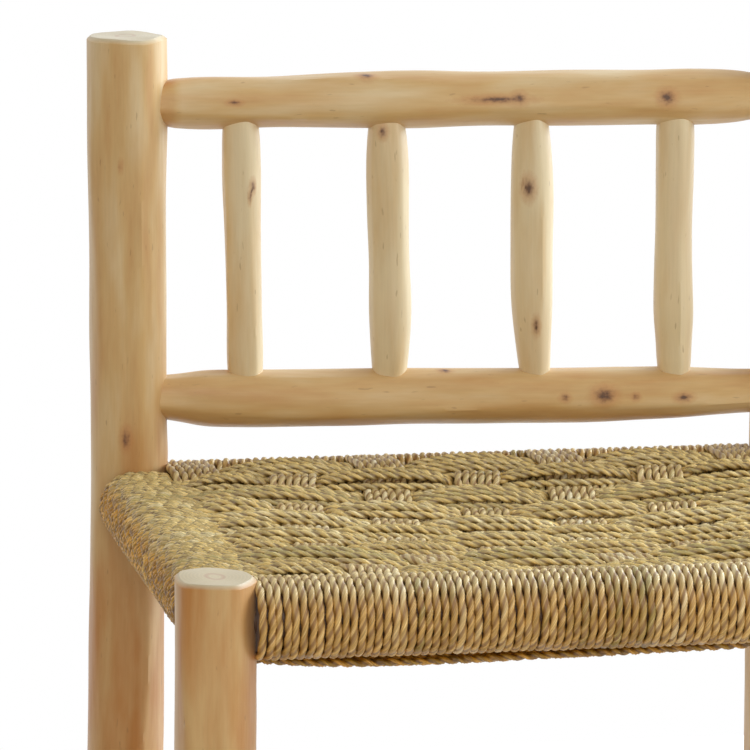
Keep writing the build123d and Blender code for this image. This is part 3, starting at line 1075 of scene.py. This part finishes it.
    def laid_rope(
        self, path: np.ndarray, ply: TwoPly, lay_length: float, start: float, tone: float
    ) -> dict[str, np.ndarray]:
        """Sweeps two twisted plies along a closed path.

        Args:
            path: closed path in mm.
            ply: how the rope is twisted.
            lay_length: mm in which this rope's plies go round once.
            start: angle of the plies at the path's start.
            tone: the rope's own shade, from 0 to 1.

        Returns:
            Vertices in metres, faces, and each vertex's lay and tone; the tone's last two parts place the
            painted light from above and the painted shade in the creases.
        """
        closed = np.vstack([path, path[:1]])
        along = np.concatenate([[0], np.cumsum(np.linalg.norm(np.diff(closed, axis=0), axis=1))])
        total = along[-1]
        rings = int(total / self.ring_step)
        places = np.arange(rings) * total / rings
        line = np.stack([np.interp(places, along, closed[:, way]) for way in range(3)], axis=1)
        line = (np.roll(line, 1, axis=0) + 2 * line + np.roll(line, -1, axis=0)) / 4
        tangent = np.roll(line, -1, axis=0) - np.roll(line, 1, axis=0)
        tangent /= np.linalg.norm(tangent, axis=1)[:, None]
        outward = np.cross(np.array(ply.plane, float), tangent)
        outward /= np.linalg.norm(outward, axis=1)[:, None]
        aside = np.cross(tangent, outward)

        # The section: two lobes that turn on their way
        round_it = places / total * 2 * math.pi
        slack = self.slack * np.sin(round_it * self.slack_waves + start)
        twist = start + round_it * round(total / lay_length) + slack
        turn = np.arange(self.corners) * 2 * math.pi / self.corners
        lobes = ply.waist + (1 - ply.waist) * np.abs(np.cos(turn))
        radius = self.rope / 2 * lobes
        thickness = 1 + self.lumps * np.sin(round_it * self.lump_waves + 5 * start)
        angle = (twist[:, None] + turn[None, :])[:, :, None]
        section = np.cos(angle) * outward[:, None, :] + np.sin(angle) * aside[:, None, :]
        points = line[:, None, :] + thickness[:, None, None] * radius[None, :, None] * section
        ring = np.arange(rings)[:, None] * self.corners
        following = np.roll(ring, -1, axis=0)
        corner = np.arange(self.corners)[None, :]
        beside = (corner + 1) % self.corners
        faces = np.stack([ring + corner, following + corner, following + beside, ring + beside], axis=2)

        # The lay runs both ways from the path's middle, so that its ends meet without a step
        lay = np.empty((rings, self.corners, 3))
        lay[:, :, 0] = np.abs(places - total / 2)[:, None] * MM
        lay[:, :, 1] = (radius * np.cos(turn))[None, :] * MM
        lay[:, :, 2] = (radius * np.sin(turn))[None, :] * MM
        ply_tone = np.where(np.cos(turn) > 0, 0.5, -0.5) * self.dice.normal(0, self.ply_tones)
        # tone: the rope's own shade, then where the painted light from above falls, then where painted
        # shade darkens the creases
        shade = np.empty((rings, self.corners, 3))
        shade[:, :, 0] = tone + ply_tone[None, :]
        # how far the rope looks up, which places the painted light from above and the painted shade on its
        # sides
        facing_up = eased(np.clip((outward[:, 2] - self.first_top_light) / (1 - self.first_top_light), 0, 1))
        shade[:, :, 1] = facing_up[:, None]
        # how far each lobe stands out, from which the material paints shade in the creases
        shade[:, :, 2] = ((lobes - ply.waist) / (1 - ply.waist))[None, :]
        return {
            "points": points.reshape(-1, 3) * MM,
            "faces": faces.reshape(-1, 4),
            "lay": lay.reshape(-1, 3),
            "tone": shade.reshape(-1, 3),
        }

    def group_piece(self, name: str, ropes: list[dict], finish: bpy.types.Material, node: str) -> None:
        """Joins the ropes of a group into one piece.

        Args:
            name: the piece's name.
            ropes: what laid_rope gave for each.
            finish: the rope's material.
            node: the frame node that the piece stands for.
        """
        starts = np.cumsum([0] + [len(rope["points"]) for rope in ropes[:-1]])
        points = np.concatenate([rope["points"] for rope in ropes])
        faces = np.concatenate([rope["faces"] + start for rope, start in zip(ropes, starts)])
        lay = np.concatenate([rope["lay"] + (self.dice.uniform(0, self.lay_shift), 0, 0) for rope in ropes])
        mesh = bpy.data.meshes.new(name)
        mesh.vertices.add(len(points))
        mesh.vertices.foreach_set("co", points.astype(np.float32).ravel())
        mesh.loops.add(faces.size)
        mesh.loops.foreach_set("vertex_index", faces.astype(np.int32).ravel())
        mesh.polygons.add(len(faces))
        mesh.polygons.foreach_set("loop_start", np.arange(0, faces.size, 4, dtype=np.int32))
        mesh.update(calc_edges=True)
        mesh.polygons.foreach_set("use_smooth", np.ones(len(faces), bool))
        store(mesh, "lay", lay)
        store(mesh, "tone", np.concatenate([rope["tone"] for rope in ropes]))
        mesh.materials.append(finish)
        piece = bpy.data.objects.new(name, mesh)
        bpy.context.scene.collection.objects.link(piece)
        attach(piece, "root")
        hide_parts(node)

    def wind(
        self,
        way: str,
        count: int,
        path_of: Callable[[int], np.ndarray],
        ply: TwoPly,
        finish: bpy.types.Material,
    ) -> None:
        """Winds one set of ropes, one piece for each group.

        Args:
            way: which way they run, as in their node's name.
            count: number of groups.
            path_of: gives a rope's path from its number.
            ply: how they are twisted.
            finish: their material.
        """
        for group in range(count):
            group_tone = self.dice.normal(0, self.group_tones)
            lay_length = ply.lay * self.dice.uniform(*self.lay_range)
            group_start = self.dice.uniform(0, math.pi)
            ropes = []
            for within in range(self.ropes_in_group):
                path = path_of(group * self.ropes_in_group + within)
                tone = group_tone + self.dice.normal(0, self.rope_tones)
                start = group_start + self.ply_turn * within + self.dice.normal(0, self.turn_stray)
                ropes.append(self.laid_rope(path, ply, lay_length, start, tone))
            self.group_piece(f"rope_{way}_{group + 1:02d}", ropes, finish, f"seat_rope_{way}")
        log.info("rope %s: %d groups of %d", way, count, self.ropes_in_group)

    def make(self) -> None:
        """Weaves the seat."""
        # both finishes paint light: a painted shade tint on the sides, painted shade in the creases and
        # painted highlights on top and on bundles
        golden = PalmRope("two_ply_palm_rope_golden", GOLDEN_LEAVES, shaded="#F6E2C2", crease_shade="#7E5020")
        weft = PalmRope(
            "two_ply_palm_rope_weft", WEFT_LEAVES, shaded="#E9CB84", crease_shade="#5A3812",
            bundle_shades=(0.80, 1.78),
        )
        self.wind("front_to_back", self.groups, self.front_to_back, self.long_rope, golden.material())
        self.wind("side_to_side", self.rows, self.side_to_side, self.short_rope, weft.material())


# ------------------------------------------------------------------------------------- chair
LEFT_POST_GIRTHS = ((0.0, 44.5), (0.2, 48.2), (0.37, 48.4), (0.60, 48.2), (0.79, 48.8), (0.86, 49.4),
                    (0.93, 50.6), (1.0, 50.6))
LEFT_POST_DRIFTS = ((0.0, 0, 0), (0.2, 0, -1.0), (0.36, 0, -1.6), (0.44, 0, -0.8), (0.65, 0, 0.3),
                    (0.79, 0, -0.2), (0.92, 0, -1.5), (1.0, 0, -1.6))
LEG_GIRTHS = ((0.0, 42.0), (0.3, 45.5), (0.62, 47.0), (0.8, 47.6), (1.0, 48.2))
TOP_RAIL_GIRTHS = ((0.0, 25.0), (0.042, 27.0), (0.060, 30.6), (0.080, 32.0), (0.22, 32.4), (0.34, 35.4),
                   (0.43, 36.0), (0.52, 34.2), (0.66, 34.8), (0.78, 35.0), (0.86, 36.0), (0.93, 32.5),
                   (0.955, 29.0), (1.0, 26.0))
BACK_RAIL_GIRTHS = ((0.0, 27.0), (0.05, 28.5), (0.075, 31.0), (0.11, 35.5), (0.16, 37.2), (0.3, 37.0),
                    (0.42, 36.4), (0.6, 35.6), (0.76, 34.3), (0.84, 33.2), (0.9, 30.0), (0.94, 28.0),
                    (1.0, 27.0))
BACK_RAIL_DRIFTS = ((0.0, 0, -4.6), (0.1, 0, -2.4), (0.25, 0, -0.6), (0.5, 0, 0.9), (0.75, 0, 2.8),
                    (0.9, 0, 3.0), (1.0, 0, 3.0))
SPINDLE_GIRTHS = (
    ((0.0, 20.0), (0.07, 22.3), (0.3, 22.7), (0.6, 22.9), (0.82, 24.5), (0.9, 24.2), (1.0, 21.5)),
    ((0.0, 20.0), (0.08, 23.0), (0.16, 25.2), (0.26, 27.0), (0.46, 26.0), (0.66, 27.0), (0.86, 26.4),
     (0.94, 24.0), (1.0, 21.0)),
    ((0.0, 18.5), (0.07, 20.8), (0.14, 22.8), (0.26, 26.0), (0.5, 27.0), (0.72, 27.6), (0.85, 25.6),
     (0.94, 22.4), (1.0, 20.0)),
    ((0.0, 19.5), (0.07, 22.0), (0.13, 22.8), (0.24, 25.2), (0.38, 24.6), (0.52, 23.8), (0.8, 24.6),
     (0.93, 24.2), (1.0, 21.5)),
)
SPINDLE_DRIFTS = (
    ((0.0, 0, 3.3), (0.5, 0, 1.2), (1.0, 0, -1.2)),
    ((0.0, 0, 1.6), (0.3, 0, 1.6), (0.6, 0, -0.2), (1.0, 0, -2.1)),
    ((0.0, 0, 2.4), (0.1, 0, 0.9), (0.25, 0, -0.5), (0.45, 0, -1.5), (0.73, 0, -2.2), (1.0, 0, -3.1)),
    ((0.0, 0, -1.3), (0.2, 0, -2.5), (0.4, 0, -3.3), (0.7, 0, -3.2), (1.0, 0, -3.3)),
)
SPINDLE_KNOTS = (
    (Knot(0.745, 29, 3.2, 1.7, 0.4), Knot(0.71, 16, 3.4, 0.9, 0.1)),
    (Knot(0.93, -22, 3.0, 2.0, 0.3),),
    (Knot(0.72, -20, 5.0, 3.0, 0.4), Knot(0.22, 0, 4.0, 1.6, 0.1)),
    (Knot(0.4, 140, 4.0, 3.0, 0.4),),
)
STRETCHER_GIRTHS = ((0.0, 20.0), (0.06, 23.0), (0.12, 27.0), (0.3, 29.5), (0.52, 30.0), (0.75, 28.4),
                    (0.88, 26.5), (0.94, 22.5), (1.0, 20.0))
STRETCHERS = (  # (node, way, turn of its knot in degrees)
    ("front_stretcher", Lengthwise.ACROSS, 40.0),
    ("rear_stretcher", Lengthwise.ACROSS, -70.0),
    ("high_side_stretcher_left", Lengthwise.FRONT_TO_BACK, 10.0),
    ("high_side_stretcher_right", Lengthwise.FRONT_TO_BACK, 200.0),
    ("low_side_stretcher_left", Lengthwise.FRONT_TO_BACK, -60.0),
    ("low_side_stretcher_right", Lengthwise.FRONT_TO_BACK, 130.0),
)
OUTWARD_BEND = 3.6  # mm by which the right post's top bends further out than the left one's


def posts_and_legs() -> list[Pole]:
    """Lists the two rear posts and the two front legs.

    Returns:
        The poles, unmade.
    """
    mirrored = tuple(
        (share, first, OUTWARD_BEND * share - second) for share, first, second in LEFT_POST_DRIFTS
    )
    return [
        Pole(
            "rear_post_left", Lengthwise.UPRIGHT, LEFT_POST_GIRTHS, LEFT_POST_DRIFTS, proud=2.4,
            knots=(
                Knot(0.647, -11, 5.0, 2.2, 0.3), Knot(0.889, -16, 3.0, 1.0, 0.1),
                Knot(0.612, -9, 2.0, 1.0, 0.0), Knot(0.33, 60, 7.0, 5.0, 1.0),
                Knot(0.78, 150, 6.0, 4.5, 0.8),
            ),
            # painted shade: darker and more orange low down, most of all just under the seat, which shades
            # the post and warms the light it gets
            hues=((0.0, -0.12), (0.35, -0.22), (0.52, -0.16), (0.68, 0.0), (1.0, 0.05)),
        ),
        Pole(
            "rear_post_right", Lengthwise.UPRIGHT, LEFT_POST_GIRTHS, mirrored, proud=2.0,
            knots=(Knot(0.42, 20, 6.0, 4.0, 0.8), Knot(0.71, -120, 5.0, 4.0, 0.6)),
            hues=((0.0, -0.1), (1.0, 0.06)),
        ),
        Pole(
            "front_leg_left", Lengthwise.UPRIGHT, LEG_GIRTHS, saw_tilt=2.0,
            knots=(Knot(0.5, 70, 6.0, 4.5, 0.8), Knot(0.22, -30, 4.0, 3.0, 0.5)),
            hues=((0.0, -0.27), (1.0, -0.22)),
        ),
        Pole(
            "front_leg_right", Lengthwise.UPRIGHT, LEG_GIRTHS,
            knots=(Knot(0.62, 10, 5.0, 3.5, 0.7), Knot(0.3, -160, 6.0, 4.0, 0.8)),
            hues=((0.0, -0.08), (1.0, 0.04)),
        ),
    ]


def back_poles() -> list[Pole]:
    """Lists the back's two rails and its four spindles.

    Returns:
        The poles, unmade.
    """
    poles = [
        Pole(
            "top_rail", Lengthwise.ACROSS, TOP_RAIL_GIRTHS, ((0.0, 0, -1.5), (0.5, 0, -0.4), (1.0, 0, 1.5)),
            knots=(
                Knot(0.35, -66, 4.0, 3.0, 0.6), Knot(0.148, -6, 3.4, 1.2, 0.1),
                Knot(0.578, -7, 3.4, 2.8, 0.2), Knot(0.545, -5, 14.0, 1.8, 0.0),
                Knot(0.805, -6, 4.2, 3.6, 0.3),
            ),
            hues=((0.0, -0.22), (0.055, -0.18), (0.068, 0.02), (0.4, 0.05), (1.0, 0.02)),
            ridge=-51.0,
        ),
        Pole(
            "lower_back_rail", Lengthwise.ACROSS, BACK_RAIL_GIRTHS, BACK_RAIL_DRIFTS,
            knots=(
                Knot(0.716, -8, 5.5, 4.0, 0.5), Knot(0.655, -4, 2.4, 1.8, 0.1),
                Knot(0.765, -4, 2.0, 1.6, 0.1), Knot(0.84, 0, 4.0, 2.0, 0.1),
                Knot(0.475, -76, 3.0, 2.4, 0.3),
            ),
            hues=((0.0, 0.0), (1.0, 0.04)),
            ridge=-48.0,
        ),
    ]
    for number, (girths, drifts, knots) in enumerate(zip(SPINDLE_GIRTHS, SPINDLE_DRIFTS, SPINDLE_KNOTS)):
        # painted light: the spindles are paler than the other poles, for the light that reaches these thin
        # poles from behind
        hues = ((0.0, 0.30), (0.7, 0.34 + 0.02 * number), (1.0, 0.30))
        poles.append(Pole(
            f"back_spindle_{number + 1}", Lengthwise.UPRIGHT, girths, drifts, knots, hues,
            sides=40, dents=0.4, end_bevel=0.6,
        ))
    return poles


def stretchers() -> list[Pole]:
    """Lists the six rails low between the legs.

    Returns:
        The poles, unmade.
    """
    poles = []
    for number, (node, way, turn) in enumerate(STRETCHERS):
        knots = (Knot(0.3 + 0.07 * number, turn, 5.0, 3.5, 0.7),)
        hues = ((0.0, -0.04), (1.0, 0.02 * (number % 3 - 1)))
        poles.append(Pole(
            node, way, STRETCHER_GIRTHS, knots=knots, hues=hues,
            sides=40, step=3.5, dents=0.5, end_bevel=0.6,
        ))
    return poles


# ------------------------------------------------------------------------------------ studio
@dataclass(frozen=True)
class Camera:
    """Long lens at the height of a standing viewer, in front of the chair and to its left."""

    place: tuple[float, float, float] = (-0.81387, -3.74635, 1.27461)
    turned_right: float = 10.952  # degrees from straight back
    tilted_down: float = 10.928
    rolled_left: float = 0.538
    lens: float = 302.02  # mm

    def make(self) -> None:
        """Puts the camera in the scene."""
        turns = (self.turned_right, self.tilted_down, self.rolled_left)
        yaw, pitch, roll = (math.radians(turn) for turn in turns)
        to_right, to_rear = math.sin(yaw), math.cos(yaw)
        level, fall = math.cos(pitch), math.sin(pitch)
        ahead = Vector((level * to_right, level * to_rear, -fall))
        level_up = Vector((fall * to_right, fall * to_rear, level))
        level_right = ahead.cross(level_up)
        right = level_right * math.cos(roll) + level_up * math.sin(roll)
        up = level_up * math.cos(roll) - level_right * math.sin(roll)
        stand = Matrix((right, up, -ahead)).transposed().to_4x4()
        stand.translation = self.place
        lens = bpy.data.cameras.new("camera")
        lens.lens = self.lens
        lens.clip_start, lens.clip_end = 0.1, 100
        camera = bpy.data.objects.new("camera", lens)
        camera.matrix_world = stand
        bpy.context.scene.collection.objects.link(camera)
        bpy.context.scene.camera = camera


@dataclass(frozen=True)
class Softbox:
    """A square lamp that looks at the middle of the chair."""

    name: str
    place: tuple[float, float, float]
    size: float  # metres
    watts: float
    colour: str = "#FFFFFF"
    target: tuple[float, float, float] = (0.0, 0.0, 0.45)

    def make(self) -> None:
        """Hangs the lamp."""
        light = bpy.data.lights.new(self.name, "AREA")
        light.shape = "SQUARE"
        light.size = self.size
        light.energy = self.watts
        light.color = linear(self.colour)[:3]
        lamp = bpy.data.objects.new(self.name, light)
        lamp.location = self.place
        lamp.rotation_euler = (Vector(self.target) - lamp.location).to_track_quat("-Z", "Y").to_euler()
        bpy.context.scene.collection.objects.link(lamp)


@dataclass(frozen=True)
class Studio:
    """White paper floor and sky, with large soft lamps all round: most light from the right."""

    floor_side: float = 2.3  # metres
    paper: str = "#E9E8E4"
    paper_roughness: float = 0.9
    paper_gloss: float = 0.2
    paper_glow: float = 0.35  # for the camera only, so that the paper is nearly as white as the sky
    sky_strength: float = 0.26  # for what only lights the chair

    def make(self) -> None:
        """Builds the floor, the world and the lamps."""
        bpy.context.scene.view_settings.view_transform = "Standard"
        bpy.ops.object.select_all(action="DESELECT")
        bpy.ops.mesh.primitive_plane_add(size=self.floor_side, location=(0, 0, 0))
        floor = bpy.context.object
        floor.name = "paper_floor"
        floor.data.materials.append(self.paper_material())
        world = bpy.data.worlds.new("white_sky")
        bpy.context.scene.world = world
        world.use_nodes = True
        tree = world.node_tree
        seen = self.seen(tree)
        inputs = {0: seen, 1: 1.0 - self.sky_strength, 2: self.sky_strength}
        strength = add_node(tree, "ShaderNodeMath", inputs, operation="MULTIPLY_ADD")
        tree.links.new(strength.outputs[0], tree.nodes["Background"].inputs["Strength"])
        tree.nodes["Background"].inputs["Color"].default_value = (1, 1, 1, 1)
        for lamp in (
            Softbox("front_window", (-0.5, -3.4, 2.2), 1.8, 41.0),
            Softbox("right_window", (2.6, -0.6, 1.3), 1.8, 42.0, "#E8F4FF"),
            Softbox("right_rear_window", (2.3, 1.3, 1.5), 1.8, 104.0, "#E8F4FF"),
            Softbox("left_rear_wall", (-2.0, 1.7, 1.3), 1.8, 12.0, "#FFF2DE"),
            Softbox("front_card", (0.3, -2.8, 0.35), 1.4, 5.5),
            Softbox("ceiling_cloth", (0.1, 0.2, 2.6), 1.6, 8.0, "#F0F8FF"),
        ):
            lamp.make()

    @staticmethod
    def seen(tree: Tree) -> Socket:
        """Tells what is seen from what only lights the chair.

        Args:
            tree: the nodes of a material or the world.

        Returns:
            A socket with one for what the camera, gloss and glass see, and zero for the rest.
        """
        rays = add_node(tree, "ShaderNodeLightPath")
        inputs = {0: rays.outputs["Is Camera Ray"], 1: rays.outputs["Is Glossy Ray"]}
        either = add_node(tree, "ShaderNodeMath", inputs, operation="MAXIMUM")
        inputs = {0: either.outputs[0], 1: rays.outputs["Is Transmission Ray"]}
        return add_node(tree, "ShaderNodeMath", inputs, operation="MAXIMUM").outputs[0]

    def paper_material(self) -> bpy.types.Material:
        """Matt white paper that shows the chair's shadow.

        Returns:
            The floor's material.
        """
        made = bpy.data.materials.new("white_paper")
        made.use_nodes = True
        tree = made.node_tree
        shader = tree.nodes["Principled BSDF"]
        shader.inputs["Base Color"].default_value = linear(self.paper)
        shader.inputs["Roughness"].default_value = self.paper_roughness
        shader.inputs["Specular IOR Level"].default_value = self.paper_gloss
        inputs = {0: self.seen(tree), 1: self.paper_glow}
        glow = add_node(tree, "ShaderNodeMath", inputs, operation="MULTIPLY")
        shader.inputs["Emission Color"].default_value = (1, 1, 1, 1)
        tree.links.new(glow.outputs[0], shader.inputs["Emission Strength"])
        return made


def main() -> None:
    """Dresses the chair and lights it."""
    logging.basicConfig(level=logging.INFO, format="%(message)s")
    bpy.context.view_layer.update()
    wood = PeeledPole().material()
    for pole in posts_and_legs() + back_poles() + stretchers():
        piece = pole.make(wood)
        log.info("%s: %d faces", piece.name, len(piece.data.polygons))
    for side in ("front", "rear", "left", "right"):
        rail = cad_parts[f"seat_rail_{side}"]
        rail.data.materials.clear()
        rail.data.materials.append(wood)
    RopeSeat().make()
    Studio().make()
    Camera().make()


if __name__ == "__main__":
    main()
